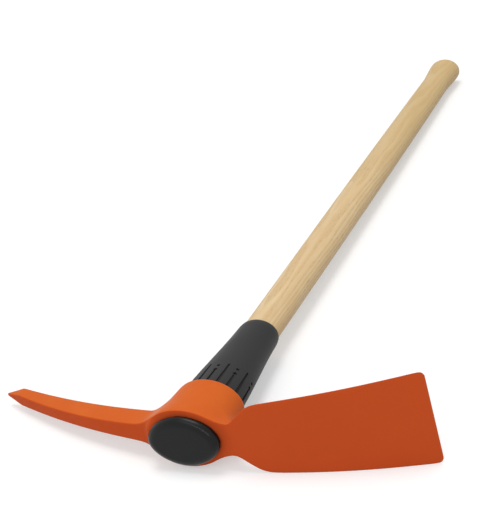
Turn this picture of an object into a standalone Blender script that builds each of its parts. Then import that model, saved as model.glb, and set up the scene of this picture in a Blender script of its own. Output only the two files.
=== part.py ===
# Pick mattock: a forged head with a pick arm and an adze blade, on an oval ash handle.
# A slotted plastic sleeve lines the eye and guards the handle below it, and an oval cap covers the
# handle's end where it stands out of the eye.
# Units are metres. X runs from the pick to the blade, Y from the cap's face down the handle,
# and Z is up through the head's plane of symmetry, so the tool lies on its side.
# The origin is the middle of the cap's flat face, on the handle's axis.

import bmesh
import bpy
from math import copysign, cos, pi, radians, sin, sqrt
from mathutils import Matrix, Vector

# Overall
TOOL_LENGTH = 0.9187            # cap face to the end of the grip knob
FIT_GAP = 0.0003                # between pieces that touch
SHARP_ANGLE = radians(32)       # edges bent more than this stay crisp

# End cap
CAP_HALF_X = 0.0381
CAP_HALF_Z = 0.0273
CAP_POINT = 1.10                # above 1 the cap's oval is drawn out towards the arms
CAP_HEIGHT = 0.0100             # how far it stands proud of the head
CAP_PLATE = 0.0040              # thickness over the handle's end
CAP_ROLL = 0.0090               # width of the rolled edge round the flat face
CAP_ROLL_DROP = 0.0068          # fall of the rolled edge
CAP_DRAFT = 0.0015              # the cap narrows by this much towards the head
CAP_PIN_RADIUS = 0.0034
CAP_PIN_LENGTH = 0.024
CAP_PIN_BARB = 0.0004
CAP_PIN_BARBS = 3
CAP_BARB_RISE = 0.1             # of the barbs' spacing, where a barb opens
CAP_BARB_FALL = 0.6             # and where it has closed again
CAP_PIN_OFFSET = 0.0135         # from the handle's axis, along Z

# Eye of the head, an oval that narrows towards the grip
EYE_HEIGHT = 0.0581
EYE_TOP_HALF_X = 0.0355
EYE_TOP_HALF_Z = 0.0246
EYE_FOOT_HALF_X = 0.0331
EYE_FOOT_HALF_Z = 0.0236
BOSS_TOP_WALL_X = 0.0062        # on the blade's side
BOSS_TOP_WALL_PICK = 0.0044     # on the pick's side
BOSS_TOP_WALL_Z = 0.0064
BOSS_RIM_FLARE_BLADE = 0.0008   # added at the rim on the blade's side
BOSS_RIM_FLARE_PICK = 0.0036    # and on the pick's side
BOSS_FOOT_WALL_X = 0.0043
BOSS_FOOT_WALL_PICK = 0.0026
BOSS_FOOT_WALL_Z = 0.0059
BOSS_EDGE = 0.0009              # rounding of the boss's top and foot edges
ROOT_BLEND = 0.0028             # reach of the fillet under the arms

# Adze blade
BLADE_REACH = 0.2347            # from the axis to the cutting edge
BLADE_EDGE_WIDTH = 0.0988
BLADE_SIDE_SLOPE = 0.0710       # how fast each side leaves the middle line towards the edge
BLADE_NECK_X = 0.0482
BLADE_NECK_WIDTH = 0.0326
BLADE_SHOULDER_SLOPE = 0.90
BLADE_SHOULDER_ROUND = 0.0020
BLADE_NECK_DEPTH = 0.0120       # at the sides of the neck
BLADE_ROOT_DEPTH = 0.0236       # where the blade leaves the boss
BLADE_SHOULDER_X = 0.0780
BLADE_SHOULDER_DEPTH = 0.0022
BLADE_EDGE_DEPTH = 0.0016
BLADE_CAMBER = 0.0078           # extra depth under the middle line at the neck
BLADE_EDGE_CAMBER = 0.0030      # what is left of it where the grind starts
BLADE_GRIND = 0.0150            # length of the ground bevel on the underside
BLADE_LIP = 0.0012              # thickness left at the cutting edge
BLADE_CORNER_RADIUS = 0.0045
BLADE_ROOT_RISE = 0.0021        # top face above the boss's rim
BLADE_ROOT_SLOPE = 0.0682
BLADE_BEND_RADIUS = 0.625
BLADE_SIDE_ROUND = 0.0006
BLADE_SIDE_DRAFT = 0.60         # how far each side leans in for its depth

# Pick arm
PICK_REACH = 0.2481
PICK_ROOT_X = 0.0445
PICK_ROOT_DROP = 0.0064         # top face of the arm below the boss's rim
PICK_ROOT_DEPTH = 0.0250
PICK_ROOT_WIDTH = 0.0222
PICK_ROOT_FLARE = 0.0034        # added each side of the top face at the root
PICK_FLARE_LENGTH = 0.0150
PICK_SHANK_WIDTH = 0.0140       # where the point starts
PICK_SHANK_DEPTH = 0.0138
PICK_POINT_LENGTH = 0.0210
PICK_TIP_WIDTH = 0.0030
PICK_TIP_DEPTH = 0.0026
PICK_ROOT_SLOPE = 0.156
PICK_BEND_RADIUS = 0.578
PICK_EDGE_ROUND = 0.0011

# Sleeve
SLEEVE_WALL = 0.0023
SLEEVE_END = 0.1993             # from the cap face
SLEEVE_RECESS = 0.0010          # its top below the boss's rim
SLEEVE_LIP_LENGTH = 0.0100
SLEEVE_LIP_DRAW = 0.0016        # how far the lip closes in
SLEEVE_FLARE = 0.030            # slope of the outside where it leaves the eye
SLEEVE_SETTLE = 0.7             # share of that slope left at its end
GROOVE_COUNT = 16
GROOVE_DEPTH = 0.0015
GROOVE_MOUTH = 0.0044
GROOVE_TIP = 0.0020
GROOVE_HIDDEN = 0.0120          # how far each groove runs up inside the eye
GROOVE_LONG = 0.0400            # past the foot of the eye
GROOVE_SHORT = 0.0270
NOTCH_WIDTH = 0.0056
NOTCH_LENGTH = 0.0030
NOTCH_STEP = 0.0001             # run of the step out to the notch's full width
DIMPLE_PAST_FOOT = 0.0355
DIMPLE_RADIUS = 0.0017

# Handle
GRIP_HALF_X = 0.0202            # just past the sleeve
GRIP_HALF_Z = 0.0162
GRIP_TAPER = 3.3                # the handle keeps its size first and slims towards the knob
NECK_HALF_X = 0.0184            # slimmest, before the knob
NECK_HALF_Z = 0.0147
NECK_BEFORE_END = 0.0600
KNOB_HALF_X = 0.0210
KNOB_HALF_Z = 0.0172
KNOB_END_LENGTH = 0.0085        # of the rounded end, along the handle
KNOB_END_DRAW = 0.0052          # how far it closes in

# Wedges in the eye
KERF_WIDTH = 0.0016
KERF_DEPTH = 0.0560
WOOD_WEDGE_DEPTH = 0.0420
WOOD_WEDGE_THICK = 0.0052
WOOD_WEDGE_EDGE = 0.0012
WOOD_WEDGE_MARGIN = 0.0010      # left at each end of the kerf
STEEL_WEDGE_OFFSET = 0.0150
STEEL_WEDGE_WIDTH = 0.0220
STEEL_WEDGE_DEPTH = 0.0200
STEEL_WEDGE_THICK = 0.0024
STEEL_WEDGE_EDGE = 0.0008

# Finishes: colour, roughness, metallic
FINISHES = {
    "orange_paint": ((0.52, 0.085, 0.016), 0.42, 0.0),
    "ash_wood": ((0.62, 0.43, 0.22), 0.55, 0.0),
    "beech_wood": ((0.50, 0.30, 0.15), 0.60, 0.0),
    "black_plastic": ((0.022, 0.023, 0.024), 0.45, 0.0),
    "bare_steel": ((0.45, 0.45, 0.46), 0.40, 1.0),
}

# Fineness: facets round an outline, and steps along each stretch
OVAL_SIDES = 48                 # the same round every oval, so that nested walls stay parallel
PIN_SIDES = 16
DIMPLE_SIDES = 10
ARC_SAMPLES = 1440              # points round the oval when its girth is measured
EYE_STEPS = 3
SLEEVE_STEPS = 7
LIP_STEPS = 4
GRIP_STEPS = 10
KNOB_STEPS = 6
KNOB_END_STEPS = 5
CAP_ROLL_STEPS = 6
GROOVE_STEPS = 4
BLADE_NECK_STEPS = 4
BLADE_SETTLE_STEPS = 2          # just past the shoulder
BLADE_STEPS = 4
BLADE_CORNER_STEPS = 2
PICK_FLARE_STEPS = 2
PICK_SHANK_STEPS = 6
PICK_POINT_STEPS = 3

# The head's cage: columns round the eye, those that each arm covers, and the crispness of its edges
CAGE_COLUMNS = OVAL_SIDES // 2
BLADE_SPAN = 3                  # columns each side of the arm's middle
PICK_SPAN = 3
EDGE_SHARE = 0.3                # an arm's rounded edges take at most this share of its depth
SHARP_CREASE = 1.0
RIM_CREASE = 0.9                # of the boss's rim at the pick's side, fading to nothing at the blade's
TIP_CREASE = 0.6                # of the pick's tip
POINT_CREASE = 0.5              # where the pick's faces break into its point
CAGE_SWELL = 8.0 / (6.0 + 2.0 * cos(2.0 * pi / CAGE_COLUMNS))   # cage oval to the smoothed oval inside it

RIM_Y = CAP_HEIGHT + FIT_GAP
FOOT_Y = RIM_Y + EYE_HEIGHT
WOOD_TOP_Y = CAP_PLATE + FIT_GAP
SLEEVE_TOP_Y = RIM_Y + SLEEVE_RECESS
NECK_Y = TOOL_LENGTH - NECK_BEFORE_END
KNOB_Y = TOOL_LENGTH - KNOB_END_LENGTH
LIP_Y = SLEEVE_END - SLEEVE_LIP_LENGTH


def clear_scene():
    for thing in list(bpy.data.objects):
        bpy.data.objects.remove(thing, do_unlink=True)


def make_material(name, color, roughness, metallic):
    material = bpy.data.materials.new(name)
    material.use_nodes = True
    shader = material.node_tree.nodes["Principled BSDF"]
    shader.inputs["Base Color"].default_value = (*color, 1.0)
    shader.inputs["Roughness"].default_value = roughness
    shader.inputs["Metallic"].default_value = metallic
    material.diffuse_color = (*color, 1.0)
    return material


def add_object(name, bm, material=None):
    bmesh.ops.recalc_face_normals(bm, faces=bm.faces)
    mesh = bpy.data.meshes.new(name)
    bm.to_mesh(mesh)
    bm.free()
    mesh.shade_smooth()
    mesh.set_sharp_from_angle(angle=SHARP_ANGLE)
    thing = bpy.data.objects.new(name, mesh)
    bpy.context.collection.objects.link(thing)
    if material:
        mesh.materials.append(material)
    return thing


def cut(target, cutter, name):
    # The cutter stays as a wire guide.
    cutter.hide_render = True
    cutter.display_type = "WIRE"
    modifier = target.modifiers.new(name, "BOOLEAN")
    modifier.operation = "DIFFERENCE"
    modifier.solver = "EXACT"
    modifier.object = cutter


def mix(a, b, share):
    return a + (b - a) * share


def ease(share):
    # Smooth start and finish between 0 and 1.
    share = min(max(share, 0.0), 1.0)
    return share * share * (3.0 - 2.0 * share)


# Ovals and lofts

def steps(start, finish, count):
    return [mix(start, finish, i / count) for i in range(count + 1)]


def drawn(value, point):
    # A sine or cosine raised to a power with its sign kept.
    return copysign(abs(value) ** point, value)


def oval_ring(bm, half_x, half_z, y, point=1.0):
    ring = []
    for side in range(OVAL_SIDES):
        angle = 2.0 * pi * side / OVAL_SIDES
        ring.append(bm.verts.new((half_x * drawn(cos(angle), point), y, half_z * drawn(sin(angle), point))))
    return ring


def skin(bm, rings):
    for lower, upper in zip(rings[:-1], rings[1:]):
        count = len(lower)
        for i in range(count):
            j = (i + 1) % count
            bm.faces.new((lower[i], lower[j], upper[j], upper[i]))


def close_solid(bm, rings):
    # Walls between the rings and a flat face at each end.
    skin(bm, rings)
    bm.faces.new(rings[0])
    bm.faces.new(list(reversed(rings[-1])))


def loft_solid(bm, stations):
    # Stations are (y, half_x, half_z).
    close_solid(bm, [oval_ring(bm, half_x, half_z, y) for y, half_x, half_z in stations])


# Sizes down the axis, shared by every piece that nests in the eye

def eye_half(y):
    share = (y - RIM_Y) / EYE_HEIGHT
    return (mix(EYE_TOP_HALF_X, EYE_FOOT_HALF_X, share),
            mix(EYE_TOP_HALF_Z, EYE_FOOT_HALF_Z, share))


def sleeve_outer(y):
    if y <= FOOT_Y:
        half_x, half_z = eye_half(y)
        return half_x - FIT_GAP, half_z - FIT_GAP
    # Below the eye each half-width is a curve that leaves at the flare's slope and settles on the grip.
    run = SLEEVE_END - FOOT_Y
    share = (y - FOOT_Y) / run
    foot = (EYE_FOOT_HALF_X - FIT_GAP, EYE_FOOT_HALF_Z - FIT_GAP)
    grip = (GRIP_HALF_X + FIT_GAP + SLEEVE_WALL, GRIP_HALF_Z + FIT_GAP + SLEEVE_WALL)
    flare = -SLEEVE_FLARE * run
    halves = []
    for start, finish in zip(foot, grip):
        leave = flare * (start - finish) / (foot[0] - grip[0])
        halves.append(mix(start, finish, ease(share)) + leave * share * (1.0 - share) ** 2
                      - SLEEVE_SETTLE * leave * share * share * (1.0 - share))
    return tuple(halves)


def sleeve_inner(y):
    half_x, half_z = sleeve_outer(y)
    return half_x - SLEEVE_WALL, half_z - SLEEVE_WALL


def wood_half(y):
    if y <= SLEEVE_END:
        half_x, half_z = sleeve_inner(y)
        return half_x - FIT_GAP, half_z - FIT_GAP
    if y <= NECK_Y:
        share = ((y - SLEEVE_END) / (NECK_Y - SLEEVE_END)) ** GRIP_TAPER
        return mix(GRIP_HALF_X, NECK_HALF_X, share), mix(GRIP_HALF_Z, NECK_HALF_Z, share)
    if y <= KNOB_Y:
        share = ease((y - NECK_Y) / (KNOB_Y - NECK_Y))
        return mix(NECK_HALF_X, KNOB_HALF_X, share), mix(NECK_HALF_Z, KNOB_HALF_Z, share)
    drop = KNOB_END_DRAW * (1.0 - sqrt(max(1.0 - ((y - KNOB_Y) / KNOB_END_LENGTH) ** 2, 0.0)))
    return KNOB_HALF_X - drop, KNOB_HALF_Z - drop


def nested_levels():
    # Shared by the sleeve and the wood inside it.
    return steps(SLEEVE_TOP_Y, FOOT_Y, EYE_STEPS) + steps(FOOT_Y, LIP_Y, SLEEVE_STEPS)[1:]


# Head: one smooth cage of quads, a ring round the eye with an arm drawn out of each side

def column_angle(column):
    return 2.0 * pi * column / CAGE_COLUMNS


def bore_point(column, y):
    half_x, half_z = eye_half(y)
    angle = column_angle(column)
    return half_x * CAGE_SWELL * cos(angle), y, half_z * CAGE_SWELL * sin(angle)


def pick_share(column):
    # 0 on the blade's side of the eye and 1 on the pick's side.
    return (1.0 - cos(column_angle(column))) / 2.0


def rim_flare(column):
    return mix(BOSS_RIM_FLARE_BLADE, BOSS_RIM_FLARE_PICK, pick_share(column) ** 2)


def boss_point(column, y, inset=0.0):
    # The boss's outside, with a thinner wall on the pick's side.
    share = (y - RIM_Y) / EYE_HEIGHT
    half_x, half_z = eye_half(y)
    angle = column_angle(column)
    if cos(angle) < 0.0:
        half_x += mix(BOSS_TOP_WALL_PICK, BOSS_FOOT_WALL_PICK, share)
    else:
        half_x += mix(BOSS_TOP_WALL_X, BOSS_FOOT_WALL_X, share)
    half_z += mix(BOSS_TOP_WALL_Z, BOSS_FOOT_WALL_Z, share)
    return (half_x - inset) * CAGE_SWELL * cos(angle), y, (half_z - inset) * CAGE_SWELL * sin(angle)


def cage_ring(bm, place, skip=()):
    return {c: bm.verts.new(place(c)) for c in range(CAGE_COLUMNS) if c not in skip}


def blade_section(x):
    # Returns the top face's y, its half width, the depth at the sides, the camber under the middle
    # and the half width underneath.
    run = x - BLADE_NECK_X
    top = RIM_Y - BLADE_ROOT_RISE + BLADE_ROOT_SLOPE * run + run * run / (2.0 * BLADE_BEND_RADIUS)
    # The outline follows the shoulder line, then the side line, with a round corner between them.
    shoulder = BLADE_NECK_WIDTH / 2.0 + BLADE_SHOULDER_SLOPE * run
    side = BLADE_EDGE_WIDTH / 2.0 - BLADE_SIDE_SLOPE * (BLADE_REACH - x)
    half = (shoulder + side) / 2.0 - sqrt(((shoulder - side) / 2.0) ** 2 + BLADE_SHOULDER_ROUND ** 2)
    if x <= BLADE_SHOULDER_X:
        share = run / (BLADE_SHOULDER_X - BLADE_NECK_X)
        depth = mix(BLADE_SHOULDER_DEPTH, BLADE_NECK_DEPTH, (1.0 - share) ** 2)
    else:
        share = (x - BLADE_SHOULDER_X) / (BLADE_REACH - BLADE_SHOULDER_X)
        depth = mix(BLADE_SHOULDER_DEPTH, BLADE_EDGE_DEPTH, share)
    camber = mix(BLADE_CAMBER, BLADE_EDGE_CAMBER, run / (BLADE_REACH - BLADE_NECK_X))
    grind = (x - (BLADE_REACH - BLADE_GRIND)) / BLADE_GRIND
    if grind > 0.0:
        depth = mix(depth, BLADE_LIP, grind)
        camber *= 1.0 - grind
    corner = x - (BLADE_REACH - BLADE_CORNER_RADIUS)
    if corner > 0.0:
        half -= BLADE_CORNER_RADIUS - sqrt(max(BLADE_CORNER_RADIUS ** 2 - corner ** 2, 0.0))
    return top, half, depth, camber, half - BLADE_SIDE_DRAFT * depth


def blade_stations():
    grind_x = BLADE_REACH - BLADE_GRIND
    corner_x = BLADE_REACH - BLADE_CORNER_RADIUS
    settled = BLADE_SHOULDER_X + (BLADE_SHOULDER_X - BLADE_NECK_X) / 2.0
    stations = steps(BLADE_NECK_X, BLADE_SHOULDER_X, BLADE_NECK_STEPS)
    stations += steps(BLADE_SHOULDER_X, settled, BLADE_SETTLE_STEPS)[1:]
    stations += steps(settled, grind_x, BLADE_STEPS)[1:]
    quarter = steps(0.0, pi / 2.0, BLADE_CORNER_STEPS)
    return stations + [corner_x + BLADE_CORNER_RADIUS * sin(angle) for angle in quarter]


def pick_section(x):
    # Works with the distance from the axis, on the pick's side.
    run = x - PICK_ROOT_X
    top = RIM_Y + PICK_ROOT_DROP + PICK_ROOT_SLOPE * run + run * run / (2.0 * PICK_BEND_RADIUS)
    point_x = PICK_REACH - PICK_POINT_LENGTH
    share = min(run / (point_x - PICK_ROOT_X), 1.0)
    half = mix(PICK_ROOT_WIDTH, PICK_SHANK_WIDTH, 1.0 - (1.0 - share) ** 2) / 2.0
    depth = mix(PICK_ROOT_DEPTH, PICK_SHANK_DEPTH, share ** 2)
    if x > point_x:
        sharpen = (x - point_x) / PICK_POINT_LENGTH
        half = mix(half, PICK_TIP_WIDTH / 2.0, sharpen)
        depth = mix(depth, PICK_TIP_DEPTH, sharpen)
    flare = PICK_ROOT_FLARE * max(1.0 - run / PICK_FLARE_LENGTH, 0.0) ** 2
    return top, half + flare, depth, 0.0, half


def pick_stations():
    point_x = PICK_REACH - PICK_POINT_LENGTH
    flare_x = PICK_ROOT_X + PICK_FLARE_LENGTH
    return (steps(PICK_ROOT_X, flare_x, PICK_FLARE_STEPS) + steps(flare_x, point_x, PICK_SHANK_STEPS)[1:]
            + steps(point_x, PICK_REACH, PICK_POINT_STEPS)[1:])


def arm_loop(bm, x, side, section, edge, span):
    # One loop round the arm: over the top, down one flank, back underneath and up the other flank.
    top, half, depth, camber, under_half = section
    edge = min(edge, EDGE_SHARE * depth)
    spread = [share / span for share in range(-span, span + 1)]
    over = [(top, share * (half - edge)) for share in spread]
    flank = [(top + edge, half), (top + depth - edge, under_half)]
    under = [(top + depth + camber * (1.0 - share * share), share * (under_half - edge))
             for share in spread]
    around = over + flank + under[::-1] + [(y, -z) for y, z in flank[::-1]]
    return [bm.verts.new((side * x, y, z)) for y, z in around]


def head_cage():
    bm = bmesh.new()
    crease = bm.edges.layers.float.new("crease_edge")
    blade_columns = [c % CAGE_COLUMNS for c in range(-BLADE_SPAN, BLADE_SPAN + 1)]
    pick_columns = [CAGE_COLUMNS // 2 - c for c in range(-PICK_SPAN, PICK_SPAN + 1)]
    covered = set(blade_columns[1:-1] + pick_columns[1:-1])

    def under_y(column):
        # The underside of the arms lies lower at the pick than at the blade.
        return mix(RIM_Y + BLADE_ROOT_DEPTH, RIM_Y + PICK_ROOT_DROP + PICK_ROOT_DEPTH, pick_share(column))

    rim_in = cage_ring(bm, lambda c: boss_point(c, RIM_Y, BOSS_EDGE - rim_flare(c)))
    rim_out = cage_ring(bm, lambda c: boss_point(c, RIM_Y + BOSS_EDGE, -rim_flare(c)), skip=covered)
    side_low = cage_ring(bm, lambda c: boss_point(c, under_y(c) - ROOT_BLEND), skip=covered)
    below = cage_ring(bm, lambda c: boss_point(c, under_y(c) + ROOT_BLEND))
    foot_out = cage_ring(bm, lambda c: boss_point(c, FOOT_Y - BOSS_EDGE))
    foot_in = cage_ring(bm, lambda c: boss_point(c, FOOT_Y, BOSS_EDGE))
    bore_foot = cage_ring(bm, lambda c: bore_point(c, FOOT_Y))
    bore_top = cage_ring(bm, lambda c: bore_point(c, RIM_Y))

    loops = [rim_in, rim_out, side_low, below, foot_out, foot_in, bore_foot, bore_top]
    for first, second in zip(loops, loops[1:] + loops[:1]):
        for c in range(CAGE_COLUMNS):
            d = (c + 1) % CAGE_COLUMNS
            if all(k in ring for ring in (first, second) for k in (c, d)):
                bm.faces.new((first[c], first[d], second[d], second[c]))

    def draw_arm(columns, side, stations, section, edge, span):
        root = ([rim_in[c] for c in columns] + [rim_out[columns[-1]], side_low[columns[-1]]]
                + [below[c] for c in reversed(columns)] + [side_low[columns[0]], rim_out[columns[0]]])
        rings = [root] + [arm_loop(bm, x, side, section(x), edge, span) for x in stations]
        skin(bm, rings)
        last = rings[-1]
        # The end face: quads between the top row and the bottom row, and one beside each flank.
        width = 2 * span
        for i in range(width):
            bm.faces.new((last[i], last[i + 1], last[2 * width + 2 - i], last[2 * width + 3 - i]))
        bm.faces.new(last[width:width + 4])
        bm.faces.new(last[2 * width + 3:] + last[:1])
        return rings

    blade = draw_arm(blade_columns, 1.0, blade_stations(), blade_section, BLADE_SIDE_ROUND, BLADE_SPAN)
    pick = draw_arm(pick_columns, -1.0, pick_stations(), pick_section, PICK_EDGE_ROUND, PICK_SPAN)

    def mark(ring, weight):
        for first, second in zip(ring, ring[1:] + ring[:1]):
            bm.edges.get((first, second))[crease] = weight

    # Beside the arms the rim is crisp near the pick and softens towards the blade.
    for c in range(CAGE_COLUMNS):
        d = (c + 1) % CAGE_COLUMNS
        if c in rim_out and d in rim_out:
            bm.edges.get((rim_in[c], rim_in[d]))[crease] = RIM_CREASE * pick_share(c + 0.5)

    for ring in (bore_top, bore_foot, foot_in):
        mark(list(ring.values()), SHARP_CREASE)
    mark(blade[-1], SHARP_CREASE)
    mark(pick[-1], TIP_CREASE)
    mark(pick[-1 - PICK_POINT_STEPS], POINT_CREASE)
    return bm


def build_head(material):
    head = add_object("head", head_cage(), material)
    smooth = head.modifiers.new("forging", "SUBSURF")
    smooth.levels = 1
    smooth.render_levels = 1
    return head


# Handle, sleeve, cap and wedges

def build_handle(material):
    bm = bmesh.new()
    quarter = steps(0.0, pi / 2.0, KNOB_END_STEPS)[1:]
    levels = [WOOD_TOP_Y] + nested_levels() + steps(SLEEVE_END, NECK_Y, GRIP_STEPS)
    levels += steps(NECK_Y, KNOB_Y, KNOB_STEPS)[1:]
    levels += [KNOB_Y + KNOB_END_LENGTH * sin(angle) for angle in quarter]
    loft_solid(bm, [(y, *wood_half(y)) for y in levels])
    return add_object("handle", bm, material)


def build_sleeve(material):
    bm = bmesh.new()
    levels = nested_levels()
    outer = [oval_ring(bm, *sleeve_outer(y), y) for y in levels]
    inner = [oval_ring(bm, *sleeve_inner(y), y) for y in levels + [SLEEVE_END]]
    # The lip is drawn in on a quarter round.
    for angle in steps(0.0, pi / 2.0, LIP_STEPS)[1:]:
        y = LIP_Y + SLEEVE_LIP_LENGTH * sin(angle)
        half_x, half_z = sleeve_outer(y)
        draw = SLEEVE_LIP_DRAW * (1.0 - cos(angle))
        outer.append(oval_ring(bm, half_x - draw, half_z - draw, y))
    skin(bm, list(reversed(inner)) + outer)
    skin(bm, [outer[-1], inner[-1]])
    return add_object("sleeve", bm, material)


def groove_angles():
    # Equal steps of arc round the oval at the foot of the eye, the first at the upper side.
    half_x, half_z = sleeve_outer(FOOT_Y)
    turns = steps(0.0, 2.0 * pi, ARC_SAMPLES)
    points = [Vector((half_x * cos(turn), half_z * sin(turn))) for turn in turns]
    travel = [0.0]
    for first, second in zip(points[:-1], points[1:]):
        travel.append(travel[-1] + (second - first).length)
    start = travel[ARC_SAMPLES // 4]
    angles = []
    for k in range(GROOVE_COUNT):
        goal = (start + travel[-1] * k / GROOVE_COUNT) % travel[-1]
        nearest = min(range(ARC_SAMPLES + 1), key=lambda i: abs(travel[i] - goal))
        angles.append(turns[nearest])
    return angles


def surface_frame(angle, y):
    # A point on the sleeve's outside, with the directions across the wall and round it.
    half_x, half_z = sleeve_outer(y)
    point = Vector((half_x * cos(angle), y, half_z * sin(angle)))
    outward = Vector((cos(angle) / half_x, 0.0, sin(angle) / half_z)).normalized()
    around = Vector((-outward.z, 0.0, outward.x))
    return point, outward, around


def groove_bar(bm, angle, widths):
    # A bar along the wall, with the given (y, width) pairs, sunk by the groove's depth.
    rings = []
    for y, width in widths:
        point, outward, around = surface_frame(angle, y)
        low = point - outward * GROOVE_DEPTH
        high = point + outward * SLEEVE_WALL
        half = around * (width / 2.0)
        rings.append([bm.verts.new(low - half), bm.verts.new(low + half),
                      bm.verts.new(high + half), bm.verts.new(high - half)])
    close_solid(bm, rings)


def build_grooves():
    bm = bmesh.new()
    for k, angle in enumerate(groove_angles()):
        reach = GROOVE_SHORT if k % 2 == 0 else GROOVE_LONG
        start = FOOT_Y - GROOVE_HIDDEN
        finish = FOOT_Y + reach
        widths = [(y, mix(GROOVE_MOUTH, GROOVE_TIP, max(y - FOOT_Y, 0.0) / reach))
                  for y in steps(start, finish, GROOVE_STEPS)]
        if k % 2 == 0:
            # The short grooves end in a wider notch that narrows to a point.
            widths += [(finish + NOTCH_STEP, NOTCH_WIDTH), (finish + NOTCH_LENGTH, GROOVE_TIP / 2.0)]
        else:
            widths += [(finish + GROOVE_TIP / 2.0, GROOVE_TIP / 2.0)]
        groove_bar(bm, angle, widths)
        if k % 2 == 0:
            point, outward, around = surface_frame(angle, FOOT_Y + DIMPLE_PAST_FOOT)
            turn = outward.to_track_quat("Z", "Y").to_matrix().to_4x4()
            place = Matrix.Translation(point + outward * (SLEEVE_WALL - GROOVE_DEPTH) / 2.0) @ turn
            bmesh.ops.create_cone(bm, cap_ends=True, segments=DIMPLE_SIDES, radius1=DIMPLE_RADIUS,
                                  radius2=DIMPLE_RADIUS, depth=SLEEVE_WALL + GROOVE_DEPTH, matrix=place)
    return add_object("sleeve_grooves", bm)


def build_cap(material):
    bm = bmesh.new()
    # A flat face, an edge that rolls over into the side, and a hollow for the handle's end.
    profile = [(CAP_ROLL_DROP * (1.0 - cos(angle)), CAP_ROLL * (1.0 - sin(angle)))
               for angle in steps(0.0, pi / 2.0, CAP_ROLL_STEPS)] + [(CAP_HEIGHT, CAP_DRAFT)]
    rings = [oval_ring(bm, CAP_HALF_X - inset, CAP_HALF_Z - inset, y, CAP_POINT) for y, inset in profile]
    rings += [oval_ring(bm, *(half + FIT_GAP for half in wood_half(y)), y) for y in (CAP_HEIGHT, CAP_PLATE)]
    close_solid(bm, rings)
    cap = add_object("end_cap", bm, material)
    for side in (-1.0, 1.0):
        pin = build_cap_pin(side)
        pin.hide_render = True
        pin.display_type = "WIRE"
        join = cap.modifiers.new("pin", "BOOLEAN")
        join.operation = "UNION"
        join.solver = "EXACT"
        join.object = pin
    return cap


def turned_pin(bm, profile, side):
    # A turned solid along Y at one of the cap's pins, from (y, radius) pairs.
    turns = steps(0.0, 2.0 * pi, PIN_SIDES)[:-1]
    rings = []
    for y, radius in profile:
        rings.append([bm.verts.new((radius * cos(turn), y, side * CAP_PIN_OFFSET + radius * sin(turn)))
                      for turn in turns])
    close_solid(bm, rings)


def build_cap_pin(side):
    bm = bmesh.new()
    pitch = CAP_PIN_LENGTH / (CAP_PIN_BARBS + 1)
    profile = [(CAP_PLATE / 2.0, CAP_PIN_RADIUS)]
    for barb in range(1, CAP_PIN_BARBS + 1):
        y = WOOD_TOP_Y + barb * pitch
        profile += [(y, CAP_PIN_RADIUS), (y + CAP_BARB_RISE * pitch, CAP_PIN_RADIUS + CAP_PIN_BARB),
                    (y + CAP_BARB_FALL * pitch, CAP_PIN_RADIUS)]
    profile += [(WOOD_TOP_Y + CAP_PIN_LENGTH, CAP_PIN_RADIUS - CAP_PIN_BARB)]
    turned_pin(bm, profile, side)
    return add_object("cap_pin_upper" if side > 0 else "cap_pin_lower", bm)


def build_pin_bore(side):
    bm = bmesh.new()
    radius = CAP_PIN_RADIUS + CAP_PIN_BARB + FIT_GAP
    turned_pin(bm, [(WOOD_TOP_Y - CAP_HEIGHT, radius), (WOOD_TOP_Y + CAP_PIN_LENGTH + radius, radius)], side)
    return add_object("pin_bore_upper" if side > 0 else "pin_bore_lower", bm)


def wedge_body(bm, top_y, depth, half_width_at, thick, edge, across, offset=0.0, grow=0.0):
    # A tapered plate driven along Y. It is wide along X, or along Z when it goes across.
    rings = []
    for share in (0.0, 0.5, 1.0):
        y = top_y + depth * share
        half_width = half_width_at(y) + grow
        half_thick = mix(thick, edge, share) / 2.0 + grow
        if share == 0.0:
            y -= grow
        if share == 1.0:
            y += grow
        ring = []
        for sw, st in ((-1, -1), (1, -1), (1, 1), (-1, 1)):
            if across:
                ring.append(bm.verts.new((offset + st * half_thick, y, sw * half_width)))
            else:
                ring.append(bm.verts.new((sw * half_width, y, st * half_thick)))
        rings.append(ring)
    close_solid(bm, rings)


def build_wood_wedge(material):
    bm = bmesh.new()
    wedge_body(bm, WOOD_TOP_Y, WOOD_WEDGE_DEPTH, lambda y: wood_half(y)[0] - WOOD_WEDGE_MARGIN,
               WOOD_WEDGE_THICK, WOOD_WEDGE_EDGE, across=False)
    return add_object("wood_wedge", bm, material)


def build_kerf():
    # The sawn slot, opened by the wedge and left at the saw's width below it.
    bm = bmesh.new()
    levels = [(WOOD_TOP_Y - CAP_HEIGHT, WOOD_WEDGE_THICK), (WOOD_TOP_Y, WOOD_WEDGE_THICK),
              (WOOD_TOP_Y + WOOD_WEDGE_DEPTH, WOOD_WEDGE_EDGE),
              (WOOD_TOP_Y + KERF_DEPTH, KERF_WIDTH - 2.0 * FIT_GAP)]
    rings = []
    for y, thick in levels:
        half = thick / 2.0 + FIT_GAP
        wide = 2.0 * EYE_TOP_HALF_X
        rings.append([bm.verts.new((-wide, y, -half)), bm.verts.new((wide, y, -half)),
                      bm.verts.new((wide, y, half)), bm.verts.new((-wide, y, half))])
    close_solid(bm, rings)
    return add_object("kerf", bm)


def build_steel_wedge(name, side, material):
    bm = bmesh.new()
    wedge_body(bm, WOOD_TOP_Y, STEEL_WEDGE_DEPTH, lambda y: STEEL_WEDGE_WIDTH / 2.0,
               STEEL_WEDGE_THICK, STEEL_WEDGE_EDGE, across=True, offset=side * STEEL_WEDGE_OFFSET)
    return add_object(name, bm, material)


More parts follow.
